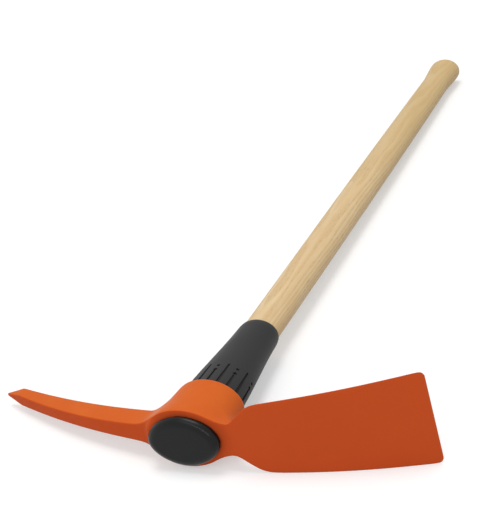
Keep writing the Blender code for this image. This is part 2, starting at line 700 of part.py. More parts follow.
def build_steel_slots():
    bm = bmesh.new()
    open_thick = mix(STEEL_WEDGE_EDGE, STEEL_WEDGE_THICK, 1.0 + CAP_HEIGHT / STEEL_WEDGE_DEPTH)
    for side in (-1.0, 1.0):
        wedge_body(bm, WOOD_TOP_Y - CAP_HEIGHT, STEEL_WEDGE_DEPTH + CAP_HEIGHT,
                   lambda y: STEEL_WEDGE_WIDTH / 2.0, open_thick, STEEL_WEDGE_EDGE,
                   across=True, offset=side * STEEL_WEDGE_OFFSET, grow=FIT_GAP)
    return add_object("steel_slots", bm)


def build_tool():
    clear_scene()
    finish = {name: make_material(name, *values) for name, values in FINISHES.items()}

    build_head(finish["orange_paint"])
    handle = build_handle(finish["ash_wood"])
    sleeve = build_sleeve(finish["black_plastic"])
    build_cap(finish["black_plastic"])
    wedge = build_wood_wedge(finish["beech_wood"])
    build_steel_wedge("steel_wedge_blade_side", 1.0, finish["bare_steel"])
    build_steel_wedge("steel_wedge_pick_side", -1.0, finish["bare_steel"])

    slots = build_steel_slots()
    cut(handle, build_kerf(), "kerf")
    cut(handle, slots, "steel_slots")
    for side in (-1.0, 1.0):
        cut(handle, build_pin_bore(side), "pin_bore")
    cut(wedge, slots, "steel_slots")
    cut(sleeve, build_grooves(), "grooves")


build_tool()
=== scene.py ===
from math import copysign, cos, pi, radians, sin, sqrt

import bmesh
import bpy
from mathutils import Matrix, Vector


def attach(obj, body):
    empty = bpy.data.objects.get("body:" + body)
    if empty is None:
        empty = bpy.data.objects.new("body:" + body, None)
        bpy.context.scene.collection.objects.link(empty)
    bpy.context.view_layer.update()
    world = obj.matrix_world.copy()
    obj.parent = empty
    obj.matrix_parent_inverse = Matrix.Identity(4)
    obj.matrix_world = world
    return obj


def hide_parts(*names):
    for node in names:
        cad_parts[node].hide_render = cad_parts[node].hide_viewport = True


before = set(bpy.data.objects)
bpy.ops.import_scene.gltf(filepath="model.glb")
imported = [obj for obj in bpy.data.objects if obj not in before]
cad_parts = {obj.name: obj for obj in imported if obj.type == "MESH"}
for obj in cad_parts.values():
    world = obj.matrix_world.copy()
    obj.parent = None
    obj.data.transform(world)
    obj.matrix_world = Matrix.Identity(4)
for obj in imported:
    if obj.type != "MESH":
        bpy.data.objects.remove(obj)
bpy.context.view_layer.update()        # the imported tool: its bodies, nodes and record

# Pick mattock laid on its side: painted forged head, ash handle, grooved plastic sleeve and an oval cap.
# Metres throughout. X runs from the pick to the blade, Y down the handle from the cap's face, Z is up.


# Small helpers

squareCorners = ((-1, -1), (1, -1), (1, 1), (-1, 1))


def mix(a, b, share):
    return a + (b - a) * share


def steps(start, finish, count):
    return [mix(start, finish, i / count) for i in range(count + 1)]


def skin(bm, rings):
    for lower, upper in zip(rings[:-1], rings[1:]):
        count = len(lower)
        for i in range(count):
            j = (i + 1) % count
            bm.faces.new((lower[i], lower[j], upper[j], upper[i]))


def closeSolid(bm, rings):
    skin(bm, rings)
    bm.faces.new(rings[0])
    bm.faces.new(list(reversed(rings[-1])))


def drawn(value, point):
    # A sine or cosine raised to a power with its sign kept.
    return copysign(abs(value) ** point, value)


def ovalRing(bm, halves, y, sides, point=1.0, z=0.0):
    halfX, halfZ = halves
    return [bm.verts.new((halfX * drawn(cos(turn), point), y, z + halfZ * drawn(sin(turn), point)))
            for turn in steps(0.0, 2.0 * pi, sides)[:-1]]


def roundBar(bm, profile, z, sides):
    # A turned solid beside the axis, from pairs of place and radius.
    closeSolid(bm, [ovalRing(bm, (radius, radius), y, sides, z=z) for y, radius in profile])


def addObject(name, data):
    thing = bpy.data.objects.new(name, data)
    bpy.context.scene.collection.objects.link(thing)
    return thing


def newPiece(name, bm, material=None, sharp=35.0):
    # Edges that bend by more than the sharp angle, in degrees, stay crisp.
    bmesh.ops.recalc_face_normals(bm, faces=bm.faces)
    mesh = bpy.data.meshes.new(name)
    bm.to_mesh(mesh)
    bm.free()
    mesh.shade_smooth()
    mesh.set_sharp_from_angle(angle=radians(sharp))
    if material:
        mesh.materials.append(material)
    return addObject(name, mesh)


def bakeShape(piece):
    # Turns the evaluated shape into the piece's own plain mesh and clears its modifiers.
    graph = bpy.context.evaluated_depsgraph_get()
    mesh = bpy.data.meshes.new_from_object(piece.evaluated_get(graph), depsgraph=graph)
    piece.modifiers.clear()
    piece.data = mesh
    mesh.name = piece.name


def combine(piece, operation, other, ownOverlaps=False):
    # Cuts the other shape out of the piece or joins it on, and then deletes that shape.
    change = piece.modifiers.new("shaping", "BOOLEAN")
    change.operation, change.solver, change.object = operation, "EXACT", other
    change.use_self = ownOverlaps
    bakeShape(piece)
    bpy.data.objects.remove(other)


def seat(piece, nodeName):
    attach(piece, "root")
    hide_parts(nodeName)


# Camera, as the photograph was taken

print("camera")
portrait = {
    "frame": (493, 525),
    "focalPixels": 1500.0,
    "place": (0.68859, -1.00317, 0.72065),
    "azimuth": 29.508,
    "elevation": 24.722,
    "roll": -15.792,
    "clip": (0.05, 60.0),
}


def makeCamera(values):
    azimuth, elevation, roll = (radians(values[key]) for key in ("azimuth", "elevation", "roll"))
    back = Vector((sin(azimuth) * cos(elevation), -cos(azimuth) * cos(elevation), sin(elevation)))
    level = Vector((cos(azimuth), sin(azimuth), 0.0))
    right = level * cos(roll) + back.cross(level) * sin(roll)
    up = back.cross(right)
    turn = Matrix((right, up, back)).transposed()
    data = bpy.data.cameras.new("portraitCamera")
    data.lens = values["focalPixels"] / max(values["frame"]) * data.sensor_width
    data.clip_start, data.clip_end = values["clip"]
    camera = addObject("portraitCamera", data)
    camera.matrix_world = Matrix.Translation(values["place"]) @ turn.to_4x4()
    bpy.context.scene.camera = camera


makeCamera(portrait)


# Node trees: short ways to add nodes, join sockets, build a group and run a tree on a piece

def fill(tree, socket, value):
    # A value is a socket to link from, a node whose first output is meant, or a plain setting.
    if isinstance(value, bpy.types.Node):
        value = value.outputs[0]
    if isinstance(value, bpy.types.NodeSocket):
        tree.links.new(value, socket)
    else:
        socket.default_value = value


def fillInputs(tree, node, **values):
    for key, value in values.items():
        fill(tree, node.inputs[key.replace("_", " ")], value)
    return node


def addNode(tree, kind, settings=None, **values):
    node = tree.nodes.new(kind)
    for key, value in (settings or {}).items():
        setattr(node, key, value)
    return fillInputs(tree, node, **values)


def operate(tree, kind, settings, values):
    # A node whose inputs are filled in their own order.
    node = addNode(tree, kind, settings)
    for socket, value in zip(node.inputs, values):
        fill(tree, socket, value)
    return node.outputs


def calc(tree, operation, *values, clamp=False):
    return operate(tree, "ShaderNodeMath", {"operation": operation, "use_clamp": clamp}, values)[0]


def plus(tree, first, second, clamp=False):
    return calc(tree, "ADD", first, second, clamp=clamp)


def minus(tree, first, second, clamp=False):
    return calc(tree, "SUBTRACT", first, second, clamp=clamp)


def times(tree, first, second):
    return calc(tree, "MULTIPLY", first, second)


def vectorCalc(tree, operation, *values):
    outputs = operate(tree, "ShaderNodeVectorMath", {"operation": operation}, values)
    return outputs["Value" if operation in ("LENGTH", "DOT_PRODUCT") else "Vector"]


def rangeOf(tree, value, fromRange, toRange=(0.0, 1.0), curve="LINEAR"):
    settings = {"interpolation_type": curve}
    return operate(tree, "ShaderNodeMapRange", settings, (value, *fromRange, *toRange))[0]


def ease(tree, value, fromRange, toRange=(0.0, 1.0)):
    return rangeOf(tree, value, fromRange, toRange, "SMOOTHSTEP")


def blendColours(tree, share, first, second):
    node = addNode(tree, "ShaderNodeMix", {"data_type": "RGBA"})
    colours = [socket for socket in node.inputs if socket.type == "RGBA"]
    for socket, value in zip((node.inputs[0], *colours), (share, first, second)):
        fill(tree, socket, value)
    return next(socket for socket in node.outputs if socket.type == "RGBA")


def tinge(tree, colour, tint, mask, share):
    # Lays a share of the tint over the colour wherever the mask is bright.
    return blendColours(tree, times(tree, mask, share), colour, tint)


def noise(tree, settings=None, **values):
    return addNode(tree, "ShaderNodeTexNoise", settings, **values).outputs[0]


def objectPlace(tree):
    return addNode(tree, "ShaderNodeTexCoord").outputs["Object"]


def splitXyz(tree, vector):
    return addNode(tree, "ShaderNodeSeparateXYZ", Vector=vector).outputs


def joinXyz(tree, **values):
    return addNode(tree, "ShaderNodeCombineXYZ", **values)


def startGroup(name, inputs, outputs, treeType="ShaderNodeTree"):
    # Inputs and outputs are given as label and kind.
    tree = bpy.data.node_groups.new(name, treeType)
    for way, sockets in (("INPUT", inputs), ("OUTPUT", outputs)):
        for label, kind in sockets.items():
            tree.interface.new_socket(label, in_out=way, socket_type="NodeSocket" + kind)
    return tree, tree.nodes.new("NodeGroupInput").outputs, tree.nodes.new("NodeGroupOutput")


def useGroup(tree, group, values):
    # Each input takes the setting that has its name.
    node = addNode(tree, "ShaderNodeGroup", {"node_tree": group})
    for socket in node.inputs:
        fill(tree, socket, values[socket.name])
    return node


def endTree(tree, result, shape, material):
    real = addNode(tree, "GeometryNodeRealizeInstances", Geometry=shape)
    finished = addNode(tree, "GeometryNodeSetMaterial", Geometry=real, Material=material)
    fillInputs(tree, result, Geometry=finished)


def runTree(piece, tree, values):
    # Inputs are set by identifier before the piece is first evaluated.
    modifier = piece.modifiers.new(tree.name, "NODES")
    modifier.node_group = tree
    for item in tree.interface.items_tree:
        if item.item_type == "SOCKET" and item.in_out == "INPUT" and item.name in values:
            modifier[item.identifier] = values[item.name]
    bakeShape(piece)


# Effects that several finishes share

print("shared effects")
driftLook = {"detail": 3.0, "from": (0.3, 0.7)}
rubLook = {"samples": 6, "turn": (0.04, 0.22), "detail": 5.0, "from": (0.42, 0.62)}
peelDetail = {"pebble": 2.0, "swell": 1.0}
timberLook = {
    # Noise cells to the metre across the grain and along it, with their detail
    "waver": (45.0, 5.5, 2.0), "fibre": (900.0, 16.0, 4.0), "pore": (2100.0, 110.0, 1.0),
    "streak": (170.0, 3.2, 3.0), "fibreRoughness": 0.65,
    # Where each band or mask starts and where it is full
    "earlyFrom": (0.0, 0.16), "lateFrom": (0.22, 0.85), "fibreFrom": (0.35, 0.7),
    "poreFrom": (0.60, 0.68), "streakFrom": (0.46, 0.70),
    "streakShare": 0.40, "depthShare": 0.85, "fibreShare": 0.18, "poreShare": 0.75,
    "poreHeight": -1.0, "fibreHeight": -0.3,
}


def makeDrift(look):
    # Slow cloudy change over the surface, from 0 to 1.
    tree, given, result = startGroup(
        "surfaceDrift", {"size": "Float", "stretch": "Float", "seed": "Float"}, {"mask": "Float"})
    squeeze = joinXyz(tree, X=1.0, Y=calc(tree, "DIVIDE", 1.0, given["stretch"]), Z=1.0)
    squeezed = vectorCalc(tree, "MULTIPLY", objectPlace(tree), squeeze)
    clouds = noise(tree, {"noise_dimensions": "4D"}, Vector=squeezed, W=given["seed"],
                   Scale=calc(tree, "DIVIDE", 1.0, given["size"]), Detail=look["detail"])
    fillInputs(tree, result, mask=ease(tree, clouds, look["from"]))
    return tree


def makeEdgeRub(look):
    # Where a corner is tight enough to be rubbed: compares the normal with a rounded one.
    tree, given, result = startGroup(
        "edgeRub", {"rubRadius": "Float", "rubPatch": "Float"}, {"mask": "Float"})
    rounded = addNode(tree, "ShaderNodeBevel", {"samples": look["samples"]}, Radius=given["rubRadius"])
    flat = addNode(tree, "ShaderNodeNewGeometry").outputs["Normal"]
    turn = minus(tree, 1.0, vectorCalc(tree, "DOT_PRODUCT", rounded, flat))
    patches = noise(tree, Vector=objectPlace(tree), Detail=look["detail"],
                    Scale=calc(tree, "DIVIDE", 1.0, given["rubPatch"]))
    edge = ease(tree, turn, look["turn"])
    fillInputs(tree, result, mask=times(tree, edge, rangeOf(tree, patches, look["from"])))
    return tree


def makePeel(look):
    # Height of a sprayed or moulded skin: fine pebbling on a slow unevenness.
    labels = ("pebble", "pebbleHeight", "swell", "swellHeight")
    tree, given, result = startGroup("skinPeel", dict.fromkeys(labels, "Float"), {"height": "Float"})
    place = objectPlace(tree)
    parts = []
    for form, detail in look.items():
        bumps = noise(tree, Vector=place, Scale=calc(tree, "DIVIDE", 1.0, given[form]), Detail=detail)
        parts.append(times(tree, bumps, given[form + "Height"]))
    fillInputs(tree, result, height=plus(tree, *parts))
    return tree


def makeTimber(look):
    # Growth rings round a far pith, with fibres and open pores that run along the handle.
    tree, given, result = startGroup(
        "timber",
        {"pale": "Color", "deep": "Color", "pore": "Color", "pith": "Vector", "tilt": "Vector",
         "ring": "Float", "waver": "Float", "contrast": "Float"},
        {"colour": "Color", "height": "Float", "ringMask": "Float"})
    place = objectPlace(tree)

    def alongGrain(cells, **values):
        sideways, lengthways, detail = cells
        stretched = vectorCalc(tree, "MULTIPLY", place, (sideways, lengthways, sideways))
        return noise(tree, Vector=stretched, Scale=1.0, Detail=detail, **values)

    grown = addNode(tree, "ShaderNodeMapping", Vector=place, Rotation=given["tilt"])
    fromPith = vectorCalc(tree, "SUBTRACT", grown, given["pith"])
    across = vectorCalc(tree, "MULTIPLY", fromPith, (1.0, 0.0, 1.0))
    wander = times(tree, minus(tree, alongGrain(look["waver"]), 0.5), given["waver"])
    radius = plus(tree, vectorCalc(tree, "LENGTH", across), wander)
    phase = calc(tree, "FRACT", calc(tree, "DIVIDE", radius, given["ring"]))
    # Each ring starts with a porous dark band and fades into dense pale wood.
    early = ease(tree, phase, look["earlyFrom"])
    ring = times(tree, early, ease(tree, phase, look["lateFrom"], (1.0, 0.0)))
    fibres = alongGrain(look["fibre"], Roughness=look["fibreRoughness"])
    fibre = rangeOf(tree, fibres, look["fibreFrom"])
    pore = times(tree, rangeOf(tree, alongGrain(look["pore"]), look["poreFrom"]), ring)
    streak = ease(tree, alongGrain(look["streak"]), look["streakFrom"])
    rings, streaks = times(tree, ring, given["contrast"]), times(tree, streak, look["streakShare"])
    depth = times(tree, calc(tree, "MAXIMUM", rings, streaks), look["depthShare"])
    shade = plus(tree, depth, times(tree, fibre, look["fibreShare"]), clamp=True)
    wood = blendColours(tree, shade, given["pale"], given["deep"])
    wood = tinge(tree, wood, given["pore"], pore, look["poreShare"])
    height = plus(tree, times(tree, pore, look["poreHeight"]), times(tree, fibre, look["fibreHeight"]))
    fillInputs(tree, result, colour=wood, height=height, ringMask=ring)
    return tree


drift = makeDrift(driftLook)
edgeRub = makeEdgeRub(rubLook)
peel = makePeel(peelDetail)
timber = makeTimber(timberLook)


# Finishes

print("finishes")


def startMaterial(name, **plain):
    # Plain values go straight onto the shader's own sockets.
    material = bpy.data.materials.new(name)
    material.use_nodes = True
    tree = material.node_tree
    return material, tree, fillInputs(tree, tree.nodes["Principled BSDF"], **plain)


def roughen(tree, shader, height, distance=1.0):
    bump = addNode(tree, "ShaderNodeBump", Height=height, Distance=distance, Strength=1.0)
    fillInputs(tree, shader, Normal=bump)


orangePaint = {
    "colour": (0.655, 0.095, 0.023, 1.0),
    "paintedLitFlankColour": (0.655, 0.139, 0.024, 1.0),     # painted light: flanks get the yellower colour of lit faces
    "flankFrom": (0.30, 0.95),                     # how squarely a face lies across the handle
    "cloudColour": (0.570, 0.080, 0.018, 1.0),
    "clouds": {"size": 0.055, "stretch": 1.0, "seed": 1.7}, "cloudShare": 0.30,
    "specks": {"size": 0.004, "stretch": 1.0, "seed": 4.2}, "speckShare": 0.10,
    "steelColour": (0.20, 0.13, 0.09, 1.0),        # rubbed bare at the tightest edges
    "rubRadius": 0.0011, "rubPatch": 0.006, "rubShare": 0.45,
    "shineTint": (1.0, 0.55, 0.20, 1.0), "gloss": 0.02, "roughness": (0.36, 0.47),
    "pebble": 0.0012, "pebbleHeight": 0.000012, "swell": 0.035, "swellHeight": 0.00028,
}


def makePaint(values):
    material, tree, shader = startMaterial(
        "orangePaint", Specular_IOR_Level=values["gloss"], Specular_Tint=values["shineTint"])
    clouds, specks = (useGroup(tree, drift, values[key]) for key in ("clouds", "specks"))
    # Painted light: faces that do not look along the handle get the yellower colour that lit tops show.
    facing = splitXyz(tree, addNode(tree, "ShaderNodeNewGeometry").outputs["Normal"])
    flank = ease(tree, calc(tree, "ABSOLUTE", facing["Y"]), values["flankFrom"], (1.0, 0.0))
    body = blendColours(tree, flank, values["colour"], values["paintedLitFlankColour"])
    body = tinge(tree, body, values["cloudColour"], clouds, values["cloudShare"])
    body = tinge(tree, body, values["cloudColour"], specks, values["speckShare"])
    body = tinge(tree, body, values["steelColour"], useGroup(tree, edgeRub, values), values["rubShare"])
    rough = rangeOf(tree, clouds, (0.0, 1.0), values["roughness"])
    fillInputs(tree, shader, Base_Color=body, Roughness=rough)
    roughen(tree, shader, useGroup(tree, peel, values))
    return material


blackPlastic = {
    "colour": (0.0245, 0.0245, 0.0245, 1.0),
    "scuffed": (0.0340, 0.0340, 0.0340, 1.0),
    "clouds": {"size": 0.03, "stretch": 2.0, "seed": 3.1}, "cloudShare": 0.35,
    "rubRadius": 0.0006, "rubPatch": 0.004, "rubShare": 0.5,
    # Painted light: the groove floors are paler than the plastic, which lifts the shade in the grooves.
    "paintedGrooveLight": (0.0350, 0.0350, 0.0350, 1.0), "grooveRoughness": 0.95,
    "gloss": 0.15, "roughness": (0.44, 0.56),
    "pebble": 0.0006, "pebbleHeight": 0.000006, "swell": 0.02, "swellHeight": 0.00008,
}
capPlastic = dict(                                 # a darker and smoother moulding than the sleeve
    blackPlastic, colour=(0.0049, 0.00539, 0.00539, 1.0), scuffed=(0.0068, 0.00748, 0.00748, 1.0),
    gloss=0.20, roughness=(0.24, 0.36))


def makePlastic(name, values):
    material, tree, shader = startMaterial(name, Specular_IOR_Level=values["gloss"])
    clouds = useGroup(tree, drift, values["clouds"])
    body = tinge(tree, values["colour"], values["scuffed"], clouds, values["cloudShare"])
    body = tinge(tree, body, values["scuffed"], useGroup(tree, edgeRub, values), values["rubShare"])
    # Painted light: groove floors take a paler colour that lifts their shade.
    slotMask = addNode(tree, "ShaderNodeAttribute", {"attribute_name": "inGroove"}).outputs["Fac"]
    body = blendColours(tree, slotMask, body, values["paintedGrooveLight"])
    rough = rangeOf(tree, clouds, (0.0, 1.0), values["roughness"])
    rough = calc(tree, "MAXIMUM", rough, times(tree, slotMask, values["grooveRoughness"]))
    fillInputs(tree, shader, Base_Color=body, Roughness=rough)
    roughen(tree, shader, useGroup(tree, peel, values))
    return material


ashWood = {
    "pale": (0.770, 0.590, 0.345, 1.0),
    "deep": (0.510, 0.345, 0.160, 1.0),
    "pore": (0.300, 0.170, 0.070, 1.0),
    "pith": (0.016, 0.0, -0.085), "tilt": (radians(0.9), 0.0, radians(-0.5)),
    "ring": 0.0036, "waver": 0.013, "contrast": 0.46,
    "rosy": (0.690, 0.490, 0.270, 1.0), "rosyShare": 0.45,
    "rosyPatches": {"size": 0.045, "stretch": 3.5, "seed": 8.4},
    "tan": (0.610, 0.405, 0.185, 1.0), "tanShare": 0.38,
    "tanPatches": {"size": 0.013, "stretch": 3.2, "seed": 5.1},
    "knobTone": (0.570, 0.398, 0.174, 1.0), "knobToneFrom": (0.45, 0.75), "knobToneShare": 0.65,
    "gloss": 0.15, "roughness": (0.42, 0.58), "grainHeight": 0.00004,
}
beechWood = dict(
    ashWood, pale=(0.560, 0.360, 0.200, 1.0), deep=(0.400, 0.230, 0.110, 1.0),
    pore=(0.260, 0.140, 0.070, 1.0), rosy=(0.520, 0.310, 0.190, 1.0), tan=(0.440, 0.260, 0.130, 1.0),
    pith=(0.0, 0.0, -0.06), tilt=(0.0, 0.0, radians(2.0)), ring=0.0021, waver=0.004, contrast=0.5,
    tanShare=0.25, tanPatches={"size": 0.008, "stretch": 2.0, "seed": 5.1}, knobToneShare=0.0,
    roughness=(0.60, 0.72), grainHeight=0.00005)


def makeWood(name, values):
    material, tree, shader = startMaterial(name, Specular_IOR_Level=values["gloss"])
    grain = useGroup(tree, timber, values).outputs
    body = grain["colour"]
    for tint in ("rosy", "tan"):
        patches = useGroup(tree, drift, values[tint + "Patches"])
        body = tinge(tree, body, values[tint], patches, values[tint + "Share"])
    # The handle is deeper in colour towards the knob.
    along = splitXyz(tree, objectPlace(tree))["Y"]
    knobTone = ease(tree, along, values["knobToneFrom"], (0.0, values["knobToneShare"]))
    body = blendColours(tree, knobTone, body, values["knobTone"])
    rough = rangeOf(tree, grain["ringMask"], (0.0, 1.0), values["roughness"])
    fillInputs(tree, shader, Base_Color=body, Roughness=rough)
    roughen(tree, shader, grain["height"], values["grainHeight"])
    return material


bareSteel = {
    "colour": (0.46, 0.45, 0.44, 1.0),
    "stained": (0.24, 0.19, 0.15, 1.0), "stainShare": 0.5, "roughness": (0.28, 0.5),
    "stains": {"size": 0.006, "stretch": 1.0, "seed": 2.2},
    "brushing": {"size": 0.0006, "stretch": 0.05, "seed": 6.0},
}


def makeSteel(values):
    material, tree, shader = startMaterial("bareSteel", Metallic=1.0)
    stains, brushing = (useGroup(tree, drift, values[key]) for key in ("stains", "brushing"))
    body = tinge(tree, values["colour"], values["stained"], stains, values["stainShare"])
    rough = rangeOf(tree, brushing, (0.0, 1.0), values["roughness"])
    fillInputs(tree, shader, Base_Color=body, Roughness=rough)
    return material


paintFinish = makePaint(orangePaint)
sleeveFinish = makePlastic("sleevePlastic", blackPlastic)
capFinish = makePlastic("capPlastic", capPlastic)
ashFinish = makeWood("ashWood", ashWood)
beechFinish = makeWood("beechWood", beechWood)
steelFinish = makeSteel(bareSteel)


# The eye, shared by every piece that nests in it

eye = {
    "rimY": 0.0103, "height": 0.0581,
    "topHalf": (0.0355, 0.0246), "footHalf": (0.0331, 0.0236),
    "gap": 0.0003,
}
footY = eye["rimY"] + eye["height"]


def eyeHalf(y):
    share = (y - eye["rimY"]) / eye["height"]
    return tuple(mix(top, foot, share) for top, foot in zip(eye["topHalf"], eye["footHalf"]))


# Forged head: a cage of quads round the eye with an arm drawn out of each side, then smoothed

print("head")
headCage = {
    "columns": 24, "span": 3, "smoothing": 3, "sharp": 38.0,
    "wallTop": (0.0062, 0.0044, 0.0064),           # blade's side, pick's side, flanks
    "wallFoot": (0.0043, 0.0026, 0.0059),
    "rimFlare": (0.0008, 0.0036),                  # on the blade's side and on the pick's side
    "edge": 0.0009, "underBlend": 0.0028, "edgeShare": 0.3,
    "rimCrease": 0.9, "tipCrease": 0.6, "pointCrease": 0.5,
}
blade = {
    "reach": 0.2347, "edgeWidth": 0.0988, "sideSlope": 0.0710,
    "neckX": 0.0482, "neckWidth": 0.0326, "shoulderSlope": 0.90, "shoulderRound": 0.0020,
    "neckDepth": 0.0120, "rootDepth": 0.0236, "shoulderX": 0.0780, "shoulderDepth": 0.0022,
    "edgeDepth": 0.0016, "camber": 0.0078, "edgeCamber": 0.0030, "grind": 0.0150, "lip": 0.0012,
    "corner": 0.0045, "rise": 0.0021, "slope": 0.0682, "bend": 0.625, "sideRound": 0.0006, "draft": 0.60,
    "settle": 0.5,                                 # of the neck's length, behind the shoulder
    "stations": (4, 2, 4, 2),                      # to the shoulder, past it, to the grind, in the corner
}
pick = {
    "reach": 0.2481, "rootX": 0.0445, "drop": 0.0064, "rootDepth": 0.0250, "rootWidth": 0.0222,
    "flare": 0.0034, "flareLength": 0.0150, "shankWidth": 0.0140, "shankDepth": 0.0138,
    "pointLength": 0.0210, "tipWidth": 0.0030, "tipDepth": 0.0026, "slope": 0.156, "bend": 0.578,
    "edgeRound": 0.0011,
    "stations": (2, 6, 3),                         # in the flare, the shank and the point
}


def bladeSection(x):
    # Top face, half width, depth at the sides, camber under the middle, half width underneath.
    run = x - blade["neckX"]
    top = eye["rimY"] - blade["rise"] + blade["slope"] * run + run * run / (2.0 * blade["bend"])
    shoulder = blade["neckWidth"] / 2.0 + blade["shoulderSlope"] * run
    side = blade["edgeWidth"] / 2.0 - blade["sideSlope"] * (blade["reach"] - x)
    half = (shoulder + side) / 2.0 - sqrt(((shoulder - side) / 2.0) ** 2 + blade["shoulderRound"] ** 2)
    if x <= blade["shoulderX"]:
        share = run / (blade["shoulderX"] - blade["neckX"])
        depth = mix(blade["shoulderDepth"], blade["neckDepth"], (1.0 - share) ** 2)
    else:
        share = (x - blade["shoulderX"]) / (blade["reach"] - blade["shoulderX"])
        depth = mix(blade["shoulderDepth"], blade["edgeDepth"], share)
    camber = mix(blade["camber"], blade["edgeCamber"], run / (blade["reach"] - blade["neckX"]))
    ground = (x - blade["reach"] + blade["grind"]) / blade["grind"]
    if ground > 0.0:
        depth = mix(depth, blade["lip"], ground)
        camber *= 1.0 - ground
    corner = x - blade["reach"] + blade["corner"]
    if corner > 0.0:
        half -= blade["corner"] - sqrt(max(blade["corner"] ** 2 - corner ** 2, 0.0))
    return top, half, depth, camber, half - blade["draft"] * depth


def bladeStations():
    shoulderX, grindX = blade["shoulderX"], blade["reach"] - blade["grind"]
    settledX = shoulderX + blade["settle"] * (shoulderX - blade["neckX"])
    toShoulder, toSettled, toGrind, inCorner = blade["stations"]
    corner = [blade["corner"] * (1.0 - sin(turn)) for turn in steps(0.0, pi / 2.0, inCorner)]
    return (steps(blade["neckX"], shoulderX, toShoulder) + steps(shoulderX, settledX, toSettled)[1:]
            + steps(settledX, grindX, toGrind)[1:] + [blade["reach"] - back for back in corner])


def pickSection(x):
    run = x - pick["rootX"]
    top = eye["rimY"] + pick["drop"] + pick["slope"] * run + run * run / (2.0 * pick["bend"])
    pointX = pick["reach"] - pick["pointLength"]
    share = min(run / (pointX - pick["rootX"]), 1.0)
    half = mix(pick["rootWidth"], pick["shankWidth"], 1.0 - (1.0 - share) ** 2) / 2.0
    depth = mix(pick["rootDepth"], pick["shankDepth"], share ** 2)
    if x > pointX:
        sharpen = (x - pointX) / pick["pointLength"]
        half = mix(half, pick["tipWidth"] / 2.0, sharpen)
        depth = mix(depth, pick["tipDepth"], sharpen)
    flare = pick["flare"] * max(1.0 - run / pick["flareLength"], 0.0) ** 2
    return top, half + flare, depth, 0.0, half


def pickStations():
    pointX = pick["reach"] - pick["pointLength"]
    flareX = pick["rootX"] + pick["flareLength"]
    inFlare, inShank, inPoint = pick["stations"]
    return (steps(pick["rootX"], flareX, inFlare) + steps(flareX, pointX, inShank)[1:]
            + steps(pointX, pick["reach"], inPoint)[1:])


